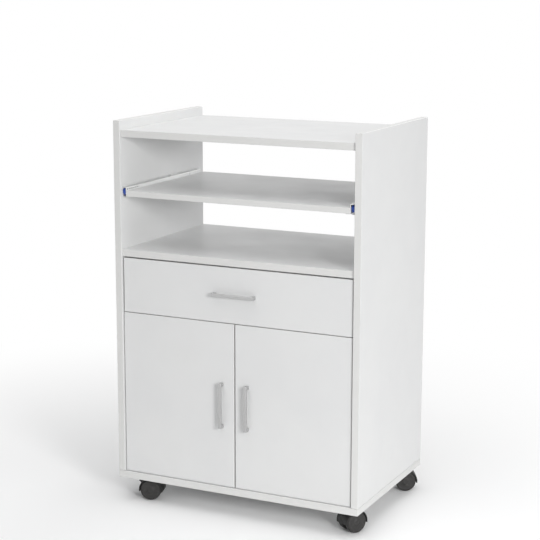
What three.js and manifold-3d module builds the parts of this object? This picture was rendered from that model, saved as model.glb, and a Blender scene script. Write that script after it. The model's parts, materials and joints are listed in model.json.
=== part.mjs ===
// A microwave cart: a white board carcass on four twin-wheel casters, with two open bays,
// a pull-out shelf on roller runners, a drawer and a cupboard with two doors.
// Millimetres, +Z up. X runs to the right, Y to the back. The origin is on the floor,
// under the middle of the footprint (carcass plus the handles in front of it).

import * as THREE from 'three';
import { mergeVertices } from 'three/addons/utils/BufferGeometryUtils.js';
import Module from 'manifold-3d';

const wasm = await Module();
wasm.setup();

// ---------------------------------------------------------------- driving dimensions

// Carcass
const WIDTH = 600;
const DEPTH = 390;
const BOARD = 16;
const FRONT_RECESS = 5; // shelves, drawer front and doors stand back from the side panels
const RIM_HEIGHT = 21; // side panels above the sunk top panel
const UPPER_BAY = 120; // pull-out shelf to top panel
const LOWER_BAY = 121; // fixed shelf to pull-out shelf
const DRAWER_FRONT_HEIGHT = 123;
const DOOR_HEIGHT = 375;
const REVEAL = 3; // gap round the doors and the drawer front
const BACK_THICKNESS = 3;
const BACK_INSET = 10; // back panel's rear face to the carcass's rear edge
const GROOVE_DEPTH = 6;
const FIT = 0.3; // clearance of a piece held in a groove or bore

// Loose cupboard shelf and the rows of pin holes that carry it
const PIN_HOLE_RADIUS = 2.6;
const PIN_HOLE_DEPTH = 10;
const PIN_RADIUS = 2.5;
const PIN_HEIGHT = 188; // used row of holes, above the bottom panel
const PIN_STEP = 32;
const PIN_STEPS_EACH_WAY = 1;
const PIN_FRONT_SETBACK = 75; // from the carcass's front edge
const PIN_BACK_SETBACK = 60; // from the back panel
const LOOSE_SHELF_SETBACK = 48; // from the carcass's front edge
const LOOSE_SHELF_SIDE_GAP = 0.5;
const LOOSE_SHELF_BACK_GAP = 2;

// Roller runners, each side of the pull-out shelf and of the drawer
const RUNNER_SPACE = 12.5; // side panel to the carried piece
const RUNNER_LENGTH = 350;
const SHELF_RAIL_SETBACK = 6; // shelf's cabinet rail behind the carcass's front edge
const DRAWER_RAIL_GAP = 1; // drawer front to the cabinet rail behind it
const CARRIER_END_GAP = 1; // moving rail short of the cabinet rail's rear end
const CARRIER_FRONT_GAP = 0.3; // moving rail behind the carried piece's front plane
const RAIL_SHEET = 1.2;
const RAIL_LEDGE = 10; // cabinet rail's lower flange, which the rear roller rolls on
const RAIL_CAP = 8; // cabinet rail's upper flange
const RAIL_CAP_GAP = 1.2; // over the moving rail
const RAIL_SIDE_GAP = 1.4; // between the moving rail's upper flange and the cabinet rail
const CARRIER_LEDGE = 11.2; // moving rail's lower flange, under the carried piece
const ROLLER_RADIUS = 9;
const ROLLER_WIDTH = 7.5;
const ROLLER_RUNNING_GAP = 0.2;
const ROLLER_SIDE_GAP = 1.4;
const ROLLER_EDGE_ROUND = 1;
const ROLLER_FRONT_LIFT = 1.4; // front roller's lowest point above the carried underside
const ROLLER_LEDGE_DROP = 0.6; // top of the cabinet rail's ledge below the carried underside
const ROLLER_AXLE_INSET = 10; // roller axle from the rail's end
const ROLLER_AXLE_RADIUS = 2;
const ROLLER_BORE_GAP = 0.15;
const ROLLER_HEAD_RADIUS = 3.4;
const ROLLER_HEAD = 0.6;

// Pull-out shelf
const PULLOUT_BOARD = 13;
const PULLOUT_DEPTH = 365;

// Drawer box
const DRAWER_SIDE = 12;
const DRAWER_SIDE_HEIGHT = 90;
const DRAWER_SIDE_LIFT = 14; // drawer front's lower edge to the sides' underside
const DRAWER_BOTTOM = 3;
const DRAWER_BOTTOM_LIFT = 8; // underside of the sides to the groove
const DRAWER_GROOVE_DEPTH = 5;

// Bar handles
const HANDLE_HOLE_SPACING = 96;
const HANDLE_WIDTH = 8;
const HANDLE_POST = 8;
const HANDLE_BAR = 4.5;
const HANDLE_FINGER_GAP = 9.5;
const HANDLE_CORNER = 1;
const HANDLE_EDGE_DISTANCE = 30; // door's free edge to the handle's centre line

// Concealed hinges
const HINGE_END_DISTANCE = 75; // door's end to the hinge
const CUP_RADIUS = 17.2;
const CUP_WALL = 1.4;
const CUP_DEPTH = 11.6;
const CUP_BORE_GAP = 0.3;
const CUP_EDGE_DISTANCE = 22; // door's hinged edge to the cup's centre
const CUP_FLANGE = 1.2;
const CUP_FLANGE_RADIUS = 19.4;
const CUP_WING_LENGTH = 52;
const CUP_WING_WIDTH = 14;
const CUP_WING_CORNER = 6;
const LINK_WIDTH = 10;
const LINK_THICKNESS = 5;
const LINK_REACH = 8; // link's tip behind the door's back face
const ARM_HEIGHT = 15;
const ARM_THICKNESS = 11;
const ARM_LENGTH = 60;
const ARM_LINK_GAP = 0.3; // link's tip to the arm's tip
const ARM_TIP_LENGTH = 6;
const ARM_TIP_REACH = 18; // side panel to the far corner of the arm's tip
const ARM_CRANK = 13;
const ARM_PLATE = 2.5;
const ARM_PLATE_LENGTH = 26;
const ARM_PLATE_HEIGHT = 50;
const ARM_PLATE_SETBACK = 22; // arm's tip to the plate's front edge

// Casters
const CASTER_HEIGHT = 55;
const CASTER_SIDE_INSET = 45; // swivel axis to the carcass's side
const CASTER_END_INSET = 38; // swivel axis to the carcass's front or rear edge
const CASTER_TRAIL = 19; // swivel axis to wheel axle
const WHEEL_RADIUS = 24;
const WHEEL_WIDTH = 13.5;
const WHEEL_CHAMFER = 2;
const WHEEL_SIDES = 24;
const WHEEL_COVER = 3.7; // closed outer face over the axle's end
const WHEEL_WEB_GAP = 0.7;
const AXLE_RADIUS = 3;
const AXLE_GAP = 0.2;
const AXLE_END_GAP = 0.5;
const HOOD_WEB = 13;
const HOOD_CLEARANCE = 1.3;
const HOOD_THICKNESS = 2.4;
const HOOD_END_DROP = 8; // degrees by which the hood's ends reach below the axle
const HOOD_BOSS_RADIUS = 6.5;
const NECK_RADIUS = 9;
const PINTLE_RADIUS = 3.5;
const PINTLE_LENGTH = 15;
const PINTLE_GAP = 0.3;
const PINTLE_END_GAP = 1;
const SWIVEL_GAP = 0.3;
const CASTER_PLATE = 2.5;
const CASTER_PLATE_SIZE = 42;
const CASTER_PLATE_CORNER = 5;
const CASTER_SCREW_SPACING = 29;
const CASTER_SCREW_RADIUS = 2.3;

// The way each caster trails in the photograph, in degrees from +X towards +Y
const CASTER_TURN = { front_left: 15.5, front_right: 58, rear_left: -20, rear_right: 29 };

// Facets of round pieces, and how far a cutter reaches past the face it opens
const ROUND_SIDES = 16;
const HOLE_SIDES = 10;
const ROLLER_SIDES = 20;
const CUP_SIDES = 24;
const NECK_SIDES = 24;
const HOOD_SIDES = 32;
const OVERSHOOT = 1;
const WELD_DISTANCE = 1e-4;

// ---------------------------------------------------------------- levels and planes

const HANDLE_PROJECTION = HANDLE_FINGER_GAP + HANDLE_BAR;
const FOOTPRINT_DEPTH = DEPTH + HANDLE_PROJECTION - FRONT_RECESS;
const REAR_Y = FOOTPRINT_DEPTH / 2;
const FRONT_Y = REAR_Y - DEPTH;
const FACE_Y = FRONT_Y + FRONT_RECESS; // front plane of shelves, drawer front and doors
const FACE_BACK_Y = FACE_Y + BOARD;
const INNER_X = WIDTH / 2 - BOARD; // inner face of the right side panel
const CARRIED_X = INNER_X - RUNNER_SPACE; // edge of what the runners carry

const BOTTOM_Z = CASTER_HEIGHT;
const FLOOR_Z = BOTTOM_Z + BOARD; // floor of the cupboard
const DOOR_Z = FLOOR_Z + REVEAL;
const DRAWER_Z = DOOR_Z + DOOR_HEIGHT + REVEAL;
const FIXED_SHELF_Z = DRAWER_Z + DRAWER_FRONT_HEIGHT + REVEAL;
const PULLOUT_Z = FIXED_SHELF_Z + BOARD + LOWER_BAY;
const TOP_Z = PULLOUT_Z + PULLOUT_BOARD + UPPER_BAY;
const RIM_Z = TOP_Z + BOARD + RIM_HEIGHT;
const BACK_Y = REAR_Y - BACK_INSET - BACK_THICKNESS; // back panel's front face
const PIN_Z = FLOOR_Z + PIN_HEIGHT;
const DRAWER_SIDE_Z = DRAWER_Z + DRAWER_SIDE_LIFT;

// ---------------------------------------------------------------- materials

function finish(color, roughness, metalness) {
  return new THREE.MeshStandardMaterial({ color, roughness, metalness });
}

const WHITE_BOARD = finish(0xe9e9e7, 0.45, 0);
const HARDBOARD = finish(0xe4e3df, 0.6, 0);
const WHITE_STEEL = finish(0xeeeeec, 0.35, 0.1);
const BLUE_PLASTIC = finish(0x2d4fa8, 0.4, 0);
const SATIN_METAL = finish(0xc3c5c7, 0.35, 0.8);
const NICKEL = finish(0xb9b9b6, 0.3, 0.9);
const BLACK_HOOD = finish(0x1b1b1c, 0.5, 0);
const BLACK_WHEEL = finish(0x2e2e2d, 0.55, 0);

// ---------------------------------------------------------------- shaping helpers

// A box from its lowest to its highest corner.
function block(low, high) {
  const size = high.map((value, axis) => value - low[axis]);
  const middle = high.map((value, axis) => (value + low[axis]) / 2);
  return new THREE.BoxGeometry(...size).translate(...middle);
}

function outline(points) {
  return new THREE.Shape(points.map(([x, y]) => new THREE.Vector2(x, y)));
}

// A flat outline in X and Y, raised from z = 0.
function prism(shape, height, curveSegments = 6) {
  return new THREE.ExtrudeGeometry(shape, { depth: height, bevelEnabled: false, curveSegments });
}

// An outline in X and Z, drawn out along Y between two planes.
function profileAlongY(points, fromY, toY) {
  return prism(outline(points), toY - fromY)
    .rotateX(Math.PI / 2)
    .translate(0, toY, 0);
}

function roundedRectangle(width, height, radius) {
  const shape = new THREE.Shape();
  const x = width / 2;
  const y = height / 2;
  const quarter = Math.PI / 2;
  shape.absarc(x - radius, y - radius, radius, 0, quarter);
  shape.absarc(radius - x, y - radius, radius, quarter, 2 * quarter);
  shape.absarc(radius - x, radius - y, radius, 2 * quarter, 3 * quarter);
  shape.absarc(x - radius, radius - y, radius, 3 * quarter, 4 * quarter);
  return shape;
}

// Cylinders along one axis, from one plane to the other, centred on a point of that axis.
function cylinderX(radius, fromX, toX, y, z, sides = ROUND_SIDES) {
  return new THREE.CylinderGeometry(radius, radius, toX - fromX, sides)
    .rotateZ(Math.PI / 2)
    .translate((fromX + toX) / 2, y, z);
}

function cylinderY(radius, fromY, toY, x, z, sides = ROUND_SIDES) {
  return new THREE.CylinderGeometry(radius, radius, toY - fromY, sides)
    .translate(x, (fromY + toY) / 2, z);
}

function cylinderZ(radius, fromZ, toZ, x, y, sides = ROUND_SIDES) {
  return new THREE.CylinderGeometry(radius, radius, toZ - fromZ, sides)
    .rotateX(Math.PI / 2)
    .translate(x, y, (fromZ + toZ) / 2);
}

function solid(geometry) {
  const bare = geometry.clone();
  bare.deleteAttribute('normal');
  bare.deleteAttribute('uv');
  const merged = mergeVertices(bare, WELD_DISTANCE);
  const vertProperties = new Float32Array(merged.attributes.position.array);
  const triVerts = new Uint32Array(merged.index.array);
  return new wasm.Manifold(new wasm.Mesh({ numProp: 3, vertProperties, triVerts }));
}

function surface(body) {
  const mesh = body.getMesh();
  const geometry = new THREE.BufferGeometry();
  geometry.setAttribute('position', new THREE.BufferAttribute(mesh.vertProperties.slice(), 3));
  geometry.setIndex(new THREE.BufferAttribute(mesh.triVerts.slice(), 1));
  geometry.computeVertexNormals();
  return geometry;
}

function join(first, ...others) {
  return surface(others.reduce((body, other) => body.add(solid(other)), solid(first)));
}

function cut(first, ...others) {
  return surface(others.reduce((body, other) => body.subtract(solid(other)), solid(first)));
}

// ---------------------------------------------------------------- the cart

const cart = new THREE.Group();

function place(name, geometry, material, group = cart) {
  const mesh = new THREE.Mesh(geometry, material);
  mesh.name = name;
  group.add(mesh);
  return mesh;
}

const SIDES = { left: -1, right: 1 };

// Two distances from the middle plane, as lower and higher X on the left or the right.
function span(side, near, far) {
  return [side * near, side * far].sort((low, high) => low - high);
}

// A box mirrored to the left or right: near and far are distances from the middle plane.
function sideBlock(side, near, far, lowY, highY, lowZ, highZ) {
  const [lowX, highX] = span(side, near, far);
  return block([lowX, lowY, lowZ], [highX, highY, highZ]);
}

// Side panel: stands on the bottom panel, grooved for the back panel below the fixed shelf,
// with two rows of pin holes for the loose shelf.
function sidePanel(side) {
  const panel = sideBlock(side, INNER_X, WIDTH / 2, FRONT_Y, REAR_Y, FLOOR_Z, RIM_Z);
  const grooveTop = FIXED_SHELF_Z + BOARD / 2;
  const grooveFront = BACK_Y - FIT;
  const grooveBack = BACK_Y + BACK_THICKNESS + FIT;
  const open = INNER_X - OVERSHOOT;
  const grooveLow = FLOOR_Z - OVERSHOOT;
  const cuts = [
    sideBlock(side, open, INNER_X + GROOVE_DEPTH, grooveFront, grooveBack, grooveLow, grooveTop),
  ];
  for (const y of [FRONT_Y + PIN_FRONT_SETBACK, BACK_Y - PIN_BACK_SETBACK]) {
    for (let step = -PIN_STEPS_EACH_WAY; step <= PIN_STEPS_EACH_WAY; step += 1) {
      const ends = span(side, open, INNER_X + PIN_HOLE_DEPTH);
      cuts.push(cylinderX(PIN_HOLE_RADIUS, ...ends, y, PIN_Z + step * PIN_STEP, HOLE_SIDES));
    }
  }
  return cut(panel, ...cuts);
}

function buildCarcass() {
  for (const [name, side] of Object.entries(SIDES)) {
    place(`side_panel_${name}`, sidePanel(side), WHITE_BOARD);
  }
  const half = WIDTH / 2;
  place('bottom_panel', block([-half, FRONT_Y, BOTTOM_Z], [half, REAR_Y, FLOOR_Z]), WHITE_BOARD);
  place('top_panel', block([-INNER_X, FACE_Y, TOP_Z], [INNER_X, REAR_Y, TOP_Z + BOARD]), WHITE_BOARD);
  const shelfTop = FIXED_SHELF_Z + BOARD;
  place('fixed_shelf', block([-INNER_X, FACE_Y, FIXED_SHELF_Z], [INNER_X, REAR_Y, shelfTop]), WHITE_BOARD);

  const backX = INNER_X + GROOVE_DEPTH - FIT;
  const backTop = FIXED_SHELF_Z - FIT;
  const backRear = BACK_Y + BACK_THICKNESS;
  place('back_panel', block([-backX, BACK_Y, FLOOR_Z], [backX, backRear, backTop]), HARDBOARD);

  const looseX = INNER_X - LOOSE_SHELF_SIDE_GAP;
  const looseZ = PIN_Z + PIN_RADIUS;
  const looseLow = [-looseX, FRONT_Y + LOOSE_SHELF_SETBACK, looseZ];
  const looseHigh = [looseX, BACK_Y - LOOSE_SHELF_BACK_GAP, looseZ + BOARD];
  place('cupboard_shelf', block(looseLow, looseHigh), WHITE_BOARD);
}

// ---------------------------------------------------------------- roller runners

// Heights on a runner count from the underside of what it carries.
const RAIL_LEDGE_TOP = -ROLLER_LEDGE_DROP;
const FRONT_ROLLER_Z = ROLLER_FRONT_LIFT + ROLLER_RADIUS;
const REAR_ROLLER_Z = RAIL_LEDGE_TOP + ROLLER_RUNNING_GAP + ROLLER_RADIUS;
const CARRIER_FLANGE_Z = FRONT_ROLLER_Z + ROLLER_RADIUS + ROLLER_RUNNING_GAP;
const CARRIER_TOP = CARRIER_FLANGE_Z + RAIL_SHEET;
const RAIL_TOP = CARRIER_TOP + RAIL_CAP_GAP + RAIL_SHEET;

// The rail screwed to the side panel: a channel, open to the inside, with the front roller's axle.
function cabinetRail(side, baseZ, railY) {
  const wall = INNER_X - RAIL_SHEET;
  const low = baseZ + RAIL_LEDGE_TOP - RAIL_SHEET;
  const ledge = baseZ + RAIL_LEDGE_TOP;
  const high = baseZ + RAIL_TOP;
  const cap = high - RAIL_SHEET;
  const section = [
    [INNER_X, low],
    [INNER_X, high],
    [INNER_X - RAIL_CAP, high],
    [INNER_X - RAIL_CAP, cap],
    [wall, cap],
    [wall, ledge],
    [INNER_X - RAIL_LEDGE, ledge],
    [INNER_X - RAIL_LEDGE, low],
  ].map(([x, z]) => [side * x, z]);
  const channel = profileAlongY(section, railY, railY + RUNNER_LENGTH);
  return join(channel, ...rollerAxle(side, wall, -1, railY + ROLLER_AXLE_INSET, baseZ + FRONT_ROLLER_Z));
}

// The rail under the carried piece's edge: it holds the rear roller, and its upper flange
// runs over the front roller.
function carrierRail(side, baseZ, railY, frontY) {
  const wall = CARRIED_X + RAIL_SHEET;
  const reach = INNER_X - RAIL_SHEET - RAIL_SIDE_GAP;
  const section = [
    [wall - CARRIER_LEDGE, baseZ - RAIL_SHEET],
    [wall, baseZ - RAIL_SHEET],
    [wall, baseZ + CARRIER_FLANGE_Z],
    [reach, baseZ + CARRIER_FLANGE_Z],
    [reach, baseZ + CARRIER_TOP],
    [CARRIED_X, baseZ + CARRIER_TOP],
    [CARRIED_X, baseZ],
    [wall - CARRIER_LEDGE, baseZ],
  ].map(([x, z]) => [side * x, z]);
  const rearY = railY + RUNNER_LENGTH - CARRIER_END_GAP;
  const channel = profileAlongY(section, frontY + CARRIER_FRONT_GAP, rearY);
  const axleY = rearY - ROLLER_AXLE_INSET;
  return join(channel, ...rollerAxle(side, wall, 1, axleY, baseZ + REAR_ROLLER_Z));
}

// Where a roller lies: from the wall that holds it, outwards (1) or inwards (-1).
function rollerSpan(wall, direction) {
  const near = wall + direction * ROLLER_SIDE_GAP;
  return [near, near + direction * ROLLER_WIDTH];
}

function rollerAxle(side, wall, direction, y, z) {
  const far = rollerSpan(wall, direction)[1];
  const head = far + direction * ROLLER_BORE_GAP;
  const root = wall - (direction * RAIL_SHEET) / 2;
  const stub = span(side, root, head + (direction * ROLLER_HEAD) / 2);
  const cap = span(side, head, head + direction * ROLLER_HEAD);
  return [
    cylinderX(ROLLER_AXLE_RADIUS, ...stub, y, z),
    cylinderX(ROLLER_HEAD_RADIUS, ...cap, y, z),
  ];
}

function roller(side, wall, direction, y, z) {
  const [near, far] = rollerSpan(wall, direction);
  const bore = ROLLER_AXLE_RADIUS + ROLLER_BORE_GAP;
  const half = ROLLER_WIDTH / 2;
  const round = ROLLER_EDGE_ROUND;
  const profile = [
    [bore, -half],
    [ROLLER_RADIUS - round, -half],
    [ROLLER_RADIUS, round - half],
    [ROLLER_RADIUS, half - round],
    [ROLLER_RADIUS - round, half],
    [bore, half],
    [bore, -half],
  ].map(([distance, along]) => new THREE.Vector2(distance, along));
  return new THREE.LatheGeometry(profile, ROLLER_SIDES)
    .rotateZ(Math.PI / 2)
    .translate((side * (near + far)) / 2, y, z);
}

// One pair of runners with its four rollers.
function buildRunners(prefix, baseZ, railY, carriedY) {
  const frontY = railY + ROLLER_AXLE_INSET;
  const rearY = railY + RUNNER_LENGTH - CARRIER_END_GAP - ROLLER_AXLE_INSET;
  for (const [name, side] of Object.entries(SIDES)) {
    const cabinetWall = INNER_X - RAIL_SHEET;
    const carrierWall = CARRIED_X + RAIL_SHEET;
    const frontZ = baseZ + FRONT_ROLLER_Z;
    const rearZ = baseZ + REAR_ROLLER_Z;
    place(`${prefix}_cabinet_rail_${name}`, cabinetRail(side, baseZ, railY), WHITE_STEEL);
    place(`${prefix}_carrier_rail_${name}`, carrierRail(side, baseZ, railY, carriedY), WHITE_STEEL);
    place(`${prefix}_front_roller_${name}`, roller(side, cabinetWall, -1, frontY, frontZ), BLUE_PLASTIC);
    place(`${prefix}_rear_roller_${name}`, roller(side, carrierWall, 1, rearY, rearZ), BLUE_PLASTIC);
  }
}

function buildPulloutShelf() {
  const low = [-CARRIED_X, FACE_Y, PULLOUT_Z];
  const high = [CARRIED_X, FACE_Y + PULLOUT_DEPTH, PULLOUT_Z + PULLOUT_BOARD];
  place('pullout_shelf_board', block(low, high), WHITE_BOARD);
  buildRunners('shelf', PULLOUT_Z, FRONT_Y + SHELF_RAIL_SETBACK, FACE_Y);
}

// ---------------------------------------------------------------- drawer

const GROOVE_LOW = DRAWER_SIDE_Z + DRAWER_BOTTOM_LIFT;
const GROOVE_HIGH = GROOVE_LOW + DRAWER_BOTTOM + 2 * FIT;
const DRAWER_RAIL_Y = FACE_BACK_Y + DRAWER_RAIL_GAP;
const DRAWER_REAR_Y = DRAWER_RAIL_Y + RUNNER_LENGTH - CARRIER_END_GAP; // level with its moving rails

function drawerSide(side) {
  const inner = CARRIED_X - DRAWER_SIDE;
  const high = DRAWER_SIDE_Z + DRAWER_SIDE_HEIGHT;
  const section = [
    [CARRIED_X, DRAWER_SIDE_Z],
    [CARRIED_X, high],
    [inner, high],
    [inner, GROOVE_HIGH],
    [inner + DRAWER_GROOVE_DEPTH, GROOVE_HIGH],
    [inner + DRAWER_GROOVE_DEPTH, GROOVE_LOW],
    [inner, GROOVE_LOW],
    [inner, DRAWER_SIDE_Z],
  ].map(([x, z]) => [side * x, z]);
  return profileAlongY(section, FACE_BACK_Y, DRAWER_REAR_Y);
}

function buildDrawer() {
  const inner = CARRIED_X - DRAWER_SIDE;
  const bottomX = inner + DRAWER_GROOVE_DEPTH - FIT;
  const frontX = INNER_X - REVEAL;
  const panel = block([-frontX, FACE_Y, DRAWER_Z], [frontX, FACE_BACK_Y, DRAWER_Z + DRAWER_FRONT_HEIGHT]);
  const grooveX = bottomX + FIT;
  const grooveY = FACE_BACK_Y - DRAWER_GROOVE_DEPTH;
  const groove = block([-grooveX, grooveY, GROOVE_LOW], [grooveX, FACE_BACK_Y + OVERSHOOT, GROOVE_HIGH]);
  place('drawer_front', cut(panel, groove), WHITE_BOARD);

  for (const [name, side] of Object.entries(SIDES)) {
    place(`drawer_side_${name}`, drawerSide(side), WHITE_BOARD);
  }
  const backLow = [-inner, DRAWER_REAR_Y - DRAWER_SIDE, GROOVE_HIGH];
  const backHigh = [inner, DRAWER_REAR_Y, DRAWER_SIDE_Z + DRAWER_SIDE_HEIGHT];
  place('drawer_back', block(backLow, backHigh), WHITE_BOARD);

  const bottomLow = [-bottomX, grooveY + FIT, GROOVE_LOW + FIT];
  const bottomHigh = [bottomX, DRAWER_REAR_Y, GROOVE_LOW + FIT + DRAWER_BOTTOM];
  place('drawer_bottom', block(bottomLow, bottomHigh), HARDBOARD);

  const handleZ = DRAWER_Z + DRAWER_FRONT_HEIGHT / 2;
  place('drawer_handle', barHandle().rotateY(Math.PI / 2).translate(0, FACE_Y, handleZ), SATIN_METAL);
  buildRunners('drawer', DRAWER_SIDE_Z, DRAWER_RAIL_Y, FACE_BACK_Y);
}

// A bar handle, upright, on the plane y = 0 and standing out towards -Y.
function barHandle() {
  const half = (HANDLE_HOLE_SPACING + HANDLE_POST) / 2;
  const out = HANDLE_PROJECTION;
  const round = HANDLE_CORNER;
  const shape = new THREE.Shape();
  shape.moveTo(-half, 0);
  shape.absarc(round - half, out - round, round, Math.PI, Math.PI / 2, true);
  shape.absarc(half - round, out - round, round, Math.PI / 2, 0, true);
  shape.lineTo(half, 0);
  shape.lineTo(half - HANDLE_POST, 0);
  shape.lineTo(half - HANDLE_POST, HANDLE_FINGER_GAP);
  shape.lineTo(HANDLE_POST - half, HANDLE_FINGER_GAP);
  shape.lineTo(HANDLE_POST - half, 0);
  return prism(shape, HANDLE_WIDTH, 3)
    .translate(0, 0, -HANDLE_WIDTH / 2)
    .rotateX(Math.PI)
    .rotateY(Math.PI / 2);
}

// ---------------------------------------------------------------- doors and hinges

const DOOR_OUTER_X = INNER_X - REVEAL; // hinged edge
const DOOR_INNER_X = REVEAL / 2; // free edge
const CUP_X = DOOR_OUTER_X - CUP_EDGE_DISTANCE;
const HINGE_HEIGHTS = {
  lower: DOOR_Z + HINGE_END_DISTANCE,
  upper: DOOR_Z + DOOR_HEIGHT - HINGE_END_DISTANCE,
};
const LINK_TIP_Y = FACE_BACK_Y + LINK_REACH;
const ARM_TIP_Y = LINK_TIP_Y + ARM_LINK_GAP;

function doorPanel(side) {
  const doorTop = DOOR_Z + DOOR_HEIGHT;
  const panel = sideBlock(side, DOOR_INNER_X, DOOR_OUTER_X, FACE_Y, FACE_BACK_Y, DOOR_Z, doorTop);
  const boreFront = FACE_BACK_Y - CUP_DEPTH - CUP_BORE_GAP;
  const boreRadius = CUP_RADIUS + CUP_BORE_GAP;
  const bores = Object.values(HINGE_HEIGHTS).map((z) =>
    cylinderY(boreRadius, boreFront, FACE_BACK_Y + OVERSHOOT, side * CUP_X, z, CUP_SIDES)
  );
  return cut(panel, ...bores);
}

// Cup sunk in the door, its screw flange, and the link that reaches back to the arm.
function hingeCup(side, z) {
  const x = side * CUP_X;
  const floorY = FACE_BACK_Y - CUP_DEPTH;
  const flangeY = FACE_BACK_Y + CUP_FLANGE;
  const well = cylinderY(CUP_RADIUS - CUP_WALL, floorY + CUP_WALL, flangeY + OVERSHOOT, x, z, CUP_SIDES);
  const cup = solid(cylinderY(CUP_RADIUS, floorY, FACE_BACK_Y, x, z, CUP_SIDES))
    .add(solid(cylinderY(CUP_FLANGE_RADIUS, FACE_BACK_Y, flangeY, x, z, CUP_SIDES)))
    .add(solid(wingPlate(x, z)))
    .subtract(solid(well));
  return surface(cup.add(solid(hingeLink(side, floorY + CUP_WALL / 2, z))));
}

function wingPlate(x, z) {
  return prism(roundedRectangle(CUP_WING_WIDTH, CUP_WING_LENGTH, CUP_WING_CORNER), CUP_FLANGE, 4)
    .rotateX(Math.PI / 2)
    .translate(x, FACE_BACK_Y + CUP_FLANGE, z);
}

function hingeLink(side, rootY, z) {
  const nearX = CUP_X;
  const farX = INNER_X - ARM_TIP_REACH + LINK_THICKNESS;
  const bendY = FACE_BACK_Y + CUP_FLANGE;
  const shape = [
    [nearX, rootY],
    [nearX, bendY],
    [farX - LINK_THICKNESS, LINK_TIP_Y],
    [farX, LINK_TIP_Y],
    [nearX + LINK_THICKNESS, bendY - LINK_THICKNESS / 2],
    [nearX + LINK_THICKNESS, rootY],
  ].map(([x, y]) => [side * x, y]);
  return prism(outline(shape), LINK_WIDTH).translate(0, 0, z - LINK_WIDTH / 2);
}

// Arm on the side panel, cranked out to the link, on its screwed plate.
function hingeArm(side, z) {
  const wall = INNER_X - ARM_PLATE;
  const tip = INNER_X - ARM_TIP_REACH;
  const shape = [
    [wall, ARM_TIP_Y + ARM_CRANK],
    [wall, ARM_TIP_Y + ARM_LENGTH],
    [INNER_X - ARM_PLATE - ARM_THICKNESS, ARM_TIP_Y + ARM_LENGTH],
    [INNER_X - ARM_PLATE - ARM_THICKNESS, ARM_TIP_Y + ARM_CRANK],
    [tip, ARM_TIP_Y + ARM_TIP_LENGTH],
    [tip, ARM_TIP_Y],
    [tip + ARM_THICKNESS - ARM_PLATE, ARM_TIP_Y],
  ].map(([x, y]) => [side * x, y]);
  const arm = prism(outline(shape), ARM_HEIGHT).translate(0, 0, z - ARM_HEIGHT / 2);
  const plateY = ARM_TIP_Y + ARM_PLATE_SETBACK;
  const plateLow = z - ARM_PLATE_HEIGHT / 2;
  const plateHigh = z + ARM_PLATE_HEIGHT / 2;
  return join(arm, sideBlock(side, wall, INNER_X, plateY, plateY + ARM_PLATE_LENGTH, plateLow, plateHigh));
}

function buildDoors() {
  const handleX = DOOR_INNER_X + HANDLE_EDGE_DISTANCE;
  const handleZ = DOOR_Z + DOOR_HEIGHT / 2;
  for (const [name, side] of Object.entries(SIDES)) {
    place(`door_${name}`, doorPanel(side), WHITE_BOARD);
    place(`door_handle_${name}`, barHandle().translate(side * handleX, FACE_Y, handleZ), SATIN_METAL);
    for (const [level, z] of Object.entries(HINGE_HEIGHTS)) {
      place(`hinge_cup_${name}_${level}`, hingeCup(side, z), NICKEL);
      place(`hinge_arm_${name}_${level}`, hingeArm(side, z), NICKEL);
    }
  }
}

// ---------------------------------------------------------------- casters

// Inside a caster's own group the swivel axis is the Z axis, and the wheels trail along +X.
const AXLE_Z = WHEEL_RADIUS;
const WHEEL_NEAR_Y = HOOD_WEB / 2 + WHEEL_WEB_GAP;
const WHEEL_FAR_Y = WHEEL_NEAR_Y + WHEEL_WIDTH;
const HOOD_INNER = WHEEL_RADIUS + HOOD_CLEARANCE;
const HOOD_OUTER = HOOD_INNER + HOOD_THICKNESS;
const PLATE_Z = CASTER_HEIGHT - CASTER_PLATE;
const NECK_TOP = PLATE_Z - SWIVEL_GAP;

function casterPlate() {
  const shape = roundedRectangle(CASTER_PLATE_SIZE, CASTER_PLATE_SIZE, CASTER_PLATE_CORNER);
  const plate = prism(shape, CASTER_PLATE, 4).translate(0, 0, PLATE_Z);
  const pintle = cylinderZ(PINTLE_RADIUS, PLATE_Z - PINTLE_LENGTH, PLATE_Z + CASTER_PLATE / 2, 0, 0);
  const half = CASTER_SCREW_SPACING / 2;
  const holes = [];
  for (const x of [-half, half]) {
    for (const y of [-half, half]) {
      holes.push(solid(screwHole(x, y)));
    }
  }
  const body = holes.reduce((rest, hole) => rest.subtract(hole), solid(plate));
  return surface(body.add(solid(pintle)));
}

function screwHole(x, y) {
  const low = PLATE_Z - OVERSHOOT;
  return cylinderZ(CASTER_SCREW_RADIUS, low, CASTER_HEIGHT + OVERSHOOT, x, y, HOLE_SIDES);
}

// A sector of a ring round the axle, drawn out across the wheels.
function hoodSector(inner, outer, halfWidth) {
  const start = THREE.MathUtils.degToRad(-HOOD_END_DROP);
  const end = Math.PI - start;
  const shape = new THREE.Shape();
  shape.absarc(0, 0, outer, start, end);
  if (inner > 0) {
    shape.absarc(0, 0, inner, end, start, true);
  }
  return prism(shape, 2 * halfWidth, HOOD_SIDES / 2)
    .rotateX(Math.PI / 2)
    .translate(CASTER_TRAIL, halfWidth, AXLE_Z);
}

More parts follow.
